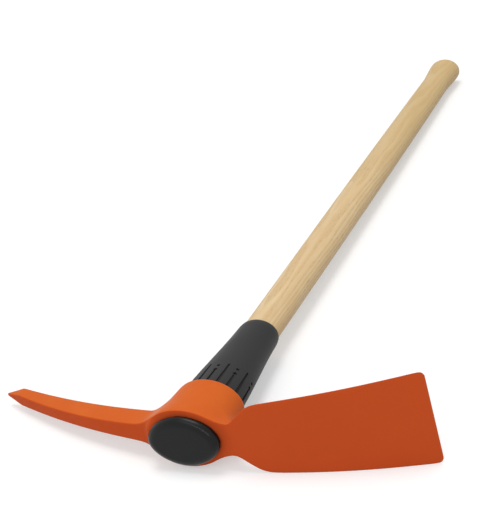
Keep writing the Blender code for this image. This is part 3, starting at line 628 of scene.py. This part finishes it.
def makeHead(values):
    bm = bmesh.new()
    crease = bm.edges.layers.float.new("crease_edge")
    columns, span = values["columns"], values["span"]
    swell = 6.0 / (4.0 + 2.0 * cos(2.0 * pi / columns))     # the smoothed oval lies inside its cage

    def onOval(column, halves, y):
        turn = 2.0 * pi * column / columns
        return halves[0] * swell * cos(turn), y, halves[1] * swell * sin(turn)

    def pickShare(column):
        # 0 on the blade's side of the eye and 1 on the pick's side.
        return (1.0 - cos(2.0 * pi * column / columns)) / 2.0

    def onBoss(column, y, inset=0.0):
        share = (y - eye["rimY"]) / eye["height"]
        wall = [mix(top, foot, share) for top, foot in zip(values["wallTop"], values["wallFoot"])]
        facingPick = columns / 4 < column < columns * 3 / 4
        halfX, halfZ = eyeHalf(y)
        return onOval(column, (halfX + wall[1 if facingPick else 0] - inset, halfZ + wall[2] - inset), y)

    def ring(place, skip=()):
        return {c: bm.verts.new(place(c)) for c in range(columns) if c not in skip}

    def underY(column):
        return eye["rimY"] + mix(blade["rootDepth"], pick["drop"] + pick["rootDepth"], pickShare(column))

    def rimFlare(column):
        return mix(*values["rimFlare"], pickShare(column) ** 2)

    bladeColumns = [c % columns for c in range(-span, span + 1)]
    pickColumns = [columns // 2 - c for c in range(-span, span + 1)]
    covered = set(bladeColumns[1:-1] + pickColumns[1:-1])
    edge, blend = values["edge"], values["underBlend"]
    rimIn = ring(lambda c: onBoss(c, eye["rimY"], edge - rimFlare(c)))
    rimOut = ring(lambda c: onBoss(c, eye["rimY"] + edge, -rimFlare(c)), skip=covered)
    sideLow = ring(lambda c: onBoss(c, underY(c) - blend), skip=covered)
    below = ring(lambda c: onBoss(c, underY(c) + blend))
    footOut = ring(lambda c: onBoss(c, footY - edge))
    footIn = ring(lambda c: onBoss(c, footY, edge))
    boreFoot = ring(lambda c: onOval(c, eyeHalf(footY), footY))
    boreTop = ring(lambda c: onOval(c, eyeHalf(eye["rimY"]), eye["rimY"]))
    loops = [rimIn, rimOut, sideLow, below, footOut, footIn, boreFoot, boreTop]
    for first, second in zip(loops, loops[1:] + loops[:1]):
        for c in range(columns):
            d = (c + 1) % columns
            if all(k in loop for loop in (first, second) for k in (c, d)):
                bm.faces.new((first[c], first[d], second[d], second[c]))

    def armLoop(x, side, section, rounding):
        top, half, depth, camber, underHalf = section
        rounding = min(rounding, values["edgeShare"] * depth)
        spread = [share / span for share in range(-span, span + 1)]
        over = [(top, share * (half - rounding)) for share in spread]
        flank = [(top + rounding, half), (top + depth - rounding, underHalf)]
        under = [(top + depth + camber * (1.0 - share * share), share * (underHalf - rounding))
                 for share in spread]
        around = over + flank + under[::-1] + [(y, -z) for y, z in flank[::-1]]
        return [bm.verts.new((side * x, y, z)) for y, z in around]

    def drawArm(armColumns, side, stations, section, rounding):
        root = ([rimIn[c] for c in armColumns] + [rimOut[armColumns[-1]], sideLow[armColumns[-1]]]
                + [below[c] for c in reversed(armColumns)]
                + [sideLow[armColumns[0]], rimOut[armColumns[0]]])
        rings = [root] + [armLoop(x, side, section(x), rounding) for x in stations]
        skin(bm, rings)
        last, width = rings[-1], 2 * span
        for i in range(width):
            bm.faces.new((last[i], last[i + 1], last[2 * width + 2 - i], last[2 * width + 3 - i]))
        bm.faces.new(last[width:width + 4])
        bm.faces.new(last[2 * width + 3:] + last[:1])
        return rings

    bladeRings = drawArm(bladeColumns, 1.0, bladeStations(), bladeSection, blade["sideRound"])
    pickRings = drawArm(pickColumns, -1.0, pickStations(), pickSection, pick["edgeRound"])

    def crispen(verts, weight):
        for first, second in zip(verts, verts[1:] + verts[:1]):
            bm.edges.get((first, second))[crease] = weight

    for loop in (boreTop, boreFoot, footIn):
        crispen(list(loop.values()), 1.0)
    # Beside the arms the rim is crisp near the pick and softens towards the blade.
    for c in range(columns):
        d = (c + 1) % columns
        if c in rimOut and d in rimOut:
            bm.edges.get((rimIn[c], rimIn[d]))[crease] = values["rimCrease"] * pickShare(c + 0.5)
    crispen(bladeRings[-1], 1.0)
    crispen(pickRings[-1], values["tipCrease"])
    crispen(pickRings[-1 - pick["stations"][-1]], values["pointCrease"])

    head = newPiece("forgedHead", bm, paintFinish)
    head.data.shade_smooth()                       # the cage's own sharp edges would show on the forging
    smoothing = head.modifiers.new("forging", "SUBSURF")
    smoothing.levels = smoothing.render_levels = values["smoothing"]
    bakeShape(head)
    head.data.set_sharp_from_angle(angle=radians(values["sharp"]))
    seat(head, "head")
    return head


forgedHead = makeHead(headCage)


# Ash handle: an oval swept down the axis by a node tree, with its widths worked out along the way

print("handle")
handle = {
    "topY": 0.0043, "endY": 0.9187, "sleeveEnd": 0.1993, "neckY": 0.8587, "knobLength": 0.0085,
    "eyeTopHalf": (0.0327, 0.0218), "eyeFootHalf": (0.0296, 0.0200),
    "gripHalf": (0.0202, 0.0162), "neckHalf": (0.0184, 0.0147), "knobHalf": (0.0210, 0.0172),
    "taper": 3.3, "knobDraw": 0.0052, "rings": 220, "sides": 96, "sharp": 40.0,
    "kerfHalf": (0.0030, 0.0009), "kerfDepth": 0.056,
    "pinRadius": 0.0041, "pinOffset": 0.0135, "pinDepth": 0.028, "pinSides": 24,
    "slotOffset": 0.0150, "slotHalf": (0.0015, 0.0007, 0.0113), "slotDepth": 0.0203,
    "cutAbove": 0.004, "cutHalf": 0.08,            # so that the cutters reach past the wood
}


def halfWidthNodes(tree, y, values, axis):
    # Sum of the grip's taper, the knob's swell, the swell under the sleeve and the taper in the eye.
    knobY = values["endY"] - values["knobLength"]
    grip, neck, knob = values["gripHalf"][axis], values["neckHalf"][axis], values["knobHalf"][axis]
    foot, top = values["eyeFootHalf"][axis], values["eyeTopHalf"][axis]
    along = rangeOf(tree, y, (values["sleeveEnd"], values["neckY"]))
    slim = rangeOf(tree, calc(tree, "POWER", along, values["taper"]), (0.0, 1.0), (grip, neck))
    swell = ease(tree, y, (values["neckY"], knobY), (0.0, knob - neck))
    under = ease(tree, y, (footY, values["sleeveEnd"]), (foot - grip, 0.0))
    inEye = rangeOf(tree, y, (values["topY"], footY), (top - foot, 0.0))
    close = rangeOf(tree, y, (knobY, values["endY"]))
    fullness = calc(tree, "SQRT", minus(tree, 1.0, times(tree, close, close), clamp=True))
    drop = times(tree, minus(tree, 1.0, fullness), values["knobDraw"])
    total = plus(tree, plus(tree, slim, swell), plus(tree, under, inEye))
    return minus(tree, total, drop)


def makeHandleTree(values):
    tree, given, result = startGroup(
        "handleSweep",
        {"Geometry": "Geometry", "Material": "Material", "topY": "Float", "endY": "Float",
         "rings": "Int", "sides": "Int"},
        {"Geometry": "Geometry"}, "GeometryNodeTree")
    line = addNode(tree, "GeometryNodeCurvePrimitiveLine", Start=(0.0, 0.0, 0.0), End=(0.0, 1.0, 0.0))
    cuts = addNode(tree, "GeometryNodeResampleCurve", Curve=line, Count=given["rings"])
    outline = addNode(tree, "GeometryNodeCurvePrimitiveCircle", Resolution=given["sides"], Radius=1.0)
    sweep = addNode(tree, "GeometryNodeCurveToMesh", Curve=cuts, Profile_Curve=outline.outputs["Curve"],
                    Fill_Caps=True)
    corner = splitXyz(tree, addNode(tree, "GeometryNodeInputPosition"))
    # The rings crowd together towards the rounded end.
    short = minus(tree, 1.0, corner["Y"])
    share = minus(tree, 1.0, times(tree, short, short))
    y = plus(tree, given["topY"], times(tree, share, minus(tree, given["endY"], given["topY"])))
    place = joinXyz(tree, X=times(tree, corner["X"], halfWidthNodes(tree, y, values, 0)), Y=y,
                    Z=times(tree, corner["Z"], halfWidthNodes(tree, y, values, 1)))
    shaped = addNode(tree, "GeometryNodeSetPosition", Geometry=sweep, Position=place)
    endTree(tree, result, shaped, given["Material"])
    return tree


def makeEyeEndCutter(values):
    # The kerf, two bores for the cap's pins and two slots for the steel wedges.
    bm = bmesh.new()
    startY = values["topY"] - values["cutAbove"]

    def slab(halfX, halfZ, centreX, depth):
        ends = zip((startY, values["topY"] + depth), halfX, halfZ)
        closeSolid(bm, [[bm.verts.new((centreX + sx * hx, y, sz * hz)) for sx, sz in squareCorners]
                        for y, hx, hz in ends])

    slab((values["cutHalf"],) * 2, values["kerfHalf"], 0.0, values["kerfDepth"])
    thick, thin, long = values["slotHalf"]
    bore = [(y, values["pinRadius"]) for y in (startY, values["topY"] + values["pinDepth"])]
    for side in (-1.0, 1.0):
        slab((thick, thin), (long, long), side * values["slotOffset"], values["slotDepth"])
        roundBar(bm, bore, side * values["pinOffset"], values["pinSides"])
    return newPiece("eyeEndCutter", bm)


def makeHandle(values):
    piece = newPiece("ashHandle", bmesh.new())
    runTree(piece, makeHandleTree(values), {**values, "Material": ashFinish})
    combine(piece, "DIFFERENCE", makeEyeEndCutter(values), ownOverlaps=True)
    piece.data.shade_smooth()
    piece.data.set_sharp_from_angle(angle=radians(values["sharp"]))
    seat(piece, "handle")
    return piece


ashHandle = makeHandle(handle)


# Plastic sleeve: a turned oval tube, with its grooves, notches and dimples cut by a node tree

print("sleeve")
sleeve = {
    "wall": 0.0023, "topY": 0.0113, "endY": 0.1993, "lipLength": 0.0100, "lipDraw": 0.0016,
    "flare": 0.030, "settle": 0.7, "sides": 144, "eyeRings": 8, "rings": 40, "lipRings": 8,
    "outlineSides": 256, "dimpleSides": 24, "overlap": 0.0001, "sharp": 30.0,
}
groove = {
    # Hidden, long, short and dimple are lengths along the sleeve from the foot of the eye.
    "count": 16, "depth": 0.0015, "hidden": 0.0120, "long": 0.0400, "short": 0.0270,
    "mouth": 0.0044, "tip": 0.0020, "notchWidth": 0.0056, "notchLength": 0.0030, "notchTip": 0.0010,
    "dimple": 0.0355, "dimpleRadius": 0.0017,
}


def sleeveHalf(y):
    # In the eye it follows the bore. Below, it leaves at the flare's slope and settles on the grip.
    if y <= footY:
        return tuple(half - eye["gap"] for half in eyeHalf(y))
    run = sleeve["endY"] - footY
    share = (y - footY) / run
    foot = [half - eye["gap"] for half in eye["footHalf"]]
    grip = [half + eye["gap"] + sleeve["wall"] for half in handle["gripHalf"]]
    eased = share * share * (3.0 - 2.0 * share)
    halves = []
    for start, finish in zip(foot, grip):
        leave = -sleeve["flare"] * run * (start - finish) / (foot[0] - grip[0])
        halves.append(mix(start, finish, eased) + leave * share * (1.0 - share) ** 2
                      - sleeve["settle"] * leave * share * share * (1.0 - share))
    return tuple(halves)


def makeTube(values):
    bm = bmesh.new()
    lipY = values["endY"] - values["lipLength"]
    levels = steps(values["topY"], footY, values["eyeRings"]) + steps(footY, lipY, values["rings"])[1:]
    inner = [ovalRing(bm, [half - values["wall"] for half in sleeveHalf(y)], y, values["sides"])
             for y in levels + [values["endY"]]]
    outer = [ovalRing(bm, sleeveHalf(y), y, values["sides"]) for y in levels]
    for turn in steps(0.0, pi / 2.0, values["lipRings"])[1:]:
        y = lipY + values["lipLength"] * sin(turn)
        draw = values["lipDraw"] * (1.0 - cos(turn))
        outer.append(ovalRing(bm, [half - draw for half in sleeveHalf(y)], y, values["sides"]))
    skin(bm, list(reversed(inner)) + outer)
    skin(bm, [outer[-1], inner[-1]])
    return newPiece("grooveSleeve", bm)


def makeGrooveTree(values):
    # The sizes of the grooves are inputs, each called what the settings call it.
    tree, want, result = startGroup(
        "sleeveGrooves",
        {"Geometry": "Geometry", "Material": "Material", "foot": "Float", "footHalf": "Vector",
         "slope": "Vector", **dict.fromkeys(groove, "Float"), "count": "Int"},
        {"Geometry": "Geometry"}, "GeometryNodeTree")

    # Points at equal steps of arc round the oval where the sleeve leaves the eye.
    circle = addNode(tree, "GeometryNodeCurvePrimitiveCircle", Radius=1.0,
                     Resolution=values["outlineSides"])
    corner = splitXyz(tree, addNode(tree, "GeometryNodeInputPosition"))
    turned = joinXyz(tree, X=corner["X"], Y=0.0, Z=corner["Y"])
    raised = vectorCalc(tree, "ADD", vectorCalc(tree, "MULTIPLY", turned, want["footHalf"]),
                        joinXyz(tree, Y=want["foot"]))
    laid = addNode(tree, "GeometryNodeSetPosition", Geometry=circle.outputs["Curve"], Position=raised)
    stops = addNode(tree, "GeometryNodeResampleCurve", Curve=laid, Count=want["count"])
    points = addNode(tree, "GeometryNodeCurveToPoints", {"mode": "EVALUATED"}, Curve=stops)

    # Each cutter lies along the wall: Y follows its slope and Z points out of it.
    here = addNode(tree, "GeometryNodeInputPosition")
    level = vectorCalc(tree, "MULTIPLY", here, (1.0, 0.0, 1.0))
    alongY = (0.0, 1.0, 0.0)
    square = vectorCalc(tree, "MULTIPLY", want["footHalf"], want["footHalf"])
    outward = vectorCalc(tree, "NORMALIZE",
                         vectorCalc(tree, "DIVIDE", level, vectorCalc(tree, "ADD", square, alongY)))
    unit = vectorCalc(tree, "DIVIDE", level, vectorCalc(tree, "ADD", want["footHalf"], alongY))
    along = vectorCalc(tree, "ADD", vectorCalc(tree, "MULTIPLY", unit, want["slope"]), alongY)
    aim = addNode(tree, "FunctionNodeAxesToRotation", {"primary_axis": "Y", "secondary_axis": "Z"})
    fill(tree, aim.inputs[0], along)
    fill(tree, aim.inputs[1], outward)
    odd = calc(tree, "MODULO", addNode(tree, "GeometryNodeInputIndex"), 2.0)
    even = minus(tree, 1.0, odd)
    high = times(tree, want["depth"], 2.0)         # half of it is sunk in the wall

    def bar(startY, endY, startWidth, endWidth):
        # A block from startY to endY past the foot, as wide as said at each end.
        cube = addNode(tree, "GeometryNodeMeshCube", Size=(1.0, 1.0, 1.0))
        spot = splitXyz(tree, addNode(tree, "GeometryNodeInputPosition"))
        share = plus(tree, spot["Y"], 0.5)
        width = plus(tree, times(tree, minus(tree, 1.0, share), startWidth),
                     times(tree, share, endWidth))
        y = plus(tree, startY, times(tree, share, minus(tree, endY, startY)))
        place = joinXyz(tree, X=times(tree, spot["X"], width), Y=y, Z=times(tree, spot["Z"], high))
        return addNode(tree, "GeometryNodeSetPosition", Geometry=cube.outputs["Mesh"], Position=place)

    def marked(shape, mark):
        return addNode(tree, "GeometryNodeStoreNamedAttribute", {"data_type": "FLOAT", "domain": "FACE"},
                       Geometry=shape, Name="inGroove", Value=mark)

    def scatter(shape, selection, mark=1.0):
        return addNode(tree, "GeometryNodeInstanceOnPoints", Points=points.outputs["Points"],
                       Selection=selection, Instance=marked(shape, mark), Rotation=aim)

    start = times(tree, want["hidden"], -1.0)
    shortEnd = plus(tree, want["short"], values["overlap"])
    notchEnd = plus(tree, want["short"], want["notchLength"])
    dimple = addNode(tree, "GeometryNodeMeshCylinder", Vertices=values["dimpleSides"],
                     Radius=want["dimpleRadius"], Depth=high)
    sunk = addNode(tree, "GeometryNodeTransform", Geometry=dimple.outputs["Mesh"],
                   Translation=joinXyz(tree, Y=want["dimple"]))
    cutters = [
        scatter(bar(start, want["long"], want["mouth"], want["tip"]), odd),
        scatter(bar(start, shortEnd, want["mouth"], want["tip"]), even),
        scatter(bar(want["short"], notchEnd, want["notchWidth"], want["notchTip"]), even, mark=0.0),
        scatter(sunk, even, mark=0.0),
    ]

    carve = addNode(tree, "GeometryNodeMeshBoolean", {"operation": "DIFFERENCE", "solver": "EXACT"},
                    Mesh_1=marked(want["Geometry"], 0.0))
    for cutter in cutters:
        fillInputs(tree, carve, Mesh_2=cutter)
    bend = addNode(tree, "GeometryNodeInputMeshEdgeAngle").outputs["Unsigned Angle"]
    smooth = addNode(tree, "GeometryNodeSetShadeSmooth", {"domain": "FACE"},
                     Geometry=carve.outputs["Mesh"], Shade_Smooth=True)
    isSharp = calc(tree, "GREATER_THAN", bend, radians(values["sharp"]))
    crisp = addNode(tree, "GeometryNodeSetShadeSmooth", {"domain": "EDGE"}, Geometry=smooth,
                    Selection=isSharp, Shade_Smooth=False)
    endTree(tree, result, crisp, want["Material"])
    return tree


def makeSleeve(values):
    piece = makeTube(values)
    footHalf, tipHalf = sleeveHalf(footY), sleeveHalf(footY + groove["long"])
    slopes = [(tip - foot) / groove["long"] for foot, tip in zip(footHalf, tipHalf)]
    runTree(piece, makeGrooveTree(values), {
        **groove, "foot": footY, "footHalf": (footHalf[0], 0.0, footHalf[1]),
        "slope": (slopes[0], 0.0, slopes[1]), "Material": sleeveFinish})
    seat(piece, "sleeve")


makeSleeve(sleeve)


# End cap: a pointed oval with a rolled edge, a hollow for the handle's end and two barbed pins

print("end cap")
cap = {
    "half": (0.0381, 0.0273), "point": 1.10, "height": 0.0100, "plate": 0.0040, "roll": 0.0090,
    "rollDrop": 0.0068, "draft": 0.0015, "foot": 0.0003, "sides": 128, "rollSteps": 16, "sharp": 50.0,
    "pinRadius": 0.0034, "pinLength": 0.024, "pinOffset": 0.0135, "pinSides": 32,
    "barbs": 3, "barb": 0.0004, "barbRise": 0.1, "barbFall": 0.6,
}


def makeCap(values):
    bm = bmesh.new()
    outline = [(values["rollDrop"] * (1.0 - cos(turn)), values["roll"] * (1.0 - sin(turn)))
               for turn in steps(0.0, pi / 2.0, values["rollSteps"])]
    outline += [(values["height"] - values["foot"], values["draft"]),
                (values["height"], values["draft"] + values["foot"])]
    rings = [ovalRing(bm, [half - inset for half in values["half"]], y, values["sides"], values["point"])
             for y, inset in outline]
    for y in (values["height"], values["plate"]):
        hollow = [half - sleeve["wall"] - eye["gap"] for half in eyeHalf(y)]
        rings.append(ovalRing(bm, hollow, y, values["sides"]))
    closeSolid(bm, rings)
    piece = newPiece("ovalCap", bm, capFinish, sharp=values["sharp"])
    pins = bmesh.new()
    radius, pitch = values["pinRadius"], values["pinLength"] / (values["barbs"] + 1)
    profile = [(values["plate"] / 2.0, radius)]
    for barb in range(1, values["barbs"] + 1):
        y = handle["topY"] + barb * pitch
        profile += [(y, radius), (y + values["barbRise"] * pitch, radius + values["barb"]),
                    (y + values["barbFall"] * pitch, radius)]
    profile.append((handle["topY"] + values["pinLength"], radius - values["barb"]))
    for side in (-1.0, 1.0):
        roundBar(pins, profile, side * values["pinOffset"], values["pinSides"])
    combine(piece, "UNION", newPiece("capPins", pins))
    seat(piece, "end_cap")


makeCap(cap)


# Wedges stay as the frame has them, with their own finishes

print("wedges")
for nodeName, finish in (("wood_wedge", beechFinish), ("steel_wedge_blade_side", steelFinish),
                         ("steel_wedge_pick_side", steelFinish)):
    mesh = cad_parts[nodeName].data
    mesh.materials.clear()
    mesh.materials.append(finish)


# Floor that the tool rests on: the blade's lower corner, the flank of the eye and the knob touch it

print("floor and light")
studio = {
    "bladeEnd": 0.200, "knobStart": 0.880, "eyeReach": 0.040,     # where the touching points are
    "settleRounds": 8, "clear": 0.0002, "reach": 9.0,
    "floorSeen": (0.62, 0.62, 0.62, 1.0), "floorBounce": (0.52, 0.52, 0.52, 1.0), "floorGlow": 0.42,
    "skyLight": 0.61, "keyStrength": 1.20, "keyAngle": 24.0, "keyFrom": (0.07, 0.06, 0.99),
    "stripEnds": ((-0.70, -1.28, 2.05), (1.40, -2.03, 0.50)), "stripWidth": 0.10, "stripPower": 10.0,
    "backdrop": (1.0, 1.0, 1.0, 1.0),
}


def seenDirectly(tree):
    # True for what the camera, a reflection or a glass ray sees, and false for light bouncing about.
    path = tree.nodes.new("ShaderNodeLightPath").outputs
    seen = calc(tree, "MAXIMUM", path["Is Camera Ray"], path["Is Glossy Ray"])
    return calc(tree, "MAXIMUM", seen, path["Is Transmission Ray"])


def restingPlane(values):
    # Settles a plane on the lowest point of the blade's end, of the eye and of the knob.
    headPoints = [vert.co for vert in forgedHead.data.vertices]
    zones = [[co for co in headPoints if co.x > values["bladeEnd"]],
             [co for co in headPoints if abs(co.x) < values["eyeReach"]],
             [vert.co for vert in ashHandle.data.vertices if vert.co.y > values["knobStart"]]]
    normal = Vector((0.0, 0.0, 1.0))
    for _ in range(values["settleRounds"]):
        first, second, third = (min(zone, key=normal.dot) for zone in zones)
        normal = (second - first).cross(third - first).normalized()
        if normal.z < 0.0:
            normal.negate()
    return first, normal


def makeFloor(values):
    touching, normal = restingPlane(values)
    centre = touching - normal * values["clear"]
    sideways = Vector((0.0, 1.0, 0.0)).cross(normal).normalized()
    forwards = normal.cross(sideways)
    bm = bmesh.new()
    bm.faces.new([bm.verts.new(centre + (sideways * sx + forwards * sy) * values["reach"])
                  for sx, sy in squareCorners])
    material, tree, shader = startMaterial("paleFloor", Roughness=1.0, Specular_IOR_Level=0.0,
                                           Emission_Color=values["backdrop"])
    seen = seenDirectly(tree)
    colour = blendColours(tree, seen, values["floorBounce"], values["floorSeen"])
    fillInputs(tree, shader, Base_Color=colour, Emission_Strength=times(tree, seen, values["floorGlow"]))
    mesh = bpy.data.meshes.new("paleFloor")
    bm.to_mesh(mesh)
    bm.free()
    mesh.materials.append(material)
    addObject("paleFloor", mesh)


def makeLight(values):
    world = bpy.data.worlds.new("studioSky")
    bpy.context.scene.world = world
    world.use_nodes = True
    tree = world.node_tree
    strength = rangeOf(tree, seenDirectly(tree), (0.0, 1.0), (values["skyLight"], 1.0))
    fillInputs(tree, tree.nodes["Background"], Color=values["backdrop"], Strength=strength)
    lamp = bpy.data.lights.new("softKey", "SUN")
    lamp.energy = values["keyStrength"]
    lamp.angle = radians(values["keyAngle"])
    key = addObject("softKey", lamp)
    key.rotation_mode = "QUATERNION"
    key.rotation_quaternion = Vector(values["keyFrom"]).to_track_quat("Z", "Y")


def makeStrip(values):
    # A long thin lamp in front, which draws the bright line round the cap's rolled edge.
    first, last = (Vector(end) for end in values["stripEnds"])
    middle, along = (first + last) / 2.0, (last - first).normalized()
    facing = (middle - along * middle.dot(along)).normalized()
    turn = Matrix((along, facing.cross(along), facing)).transposed()
    lamp = bpy.data.lights.new("frontStrip", "AREA")
    lamp.shape, lamp.size, lamp.size_y = "RECTANGLE", (last - first).length, values["stripWidth"]
    lamp.energy = values["stripPower"]
    strip = addObject("frontStrip", lamp)
    strip.matrix_world = Matrix.Translation(middle) @ turn.to_4x4()
    strip.visible_camera = False


makeFloor(studio)
makeLight(studio)
makeStrip(studio)
bpy.context.scene.view_settings.view_transform = "Standard"
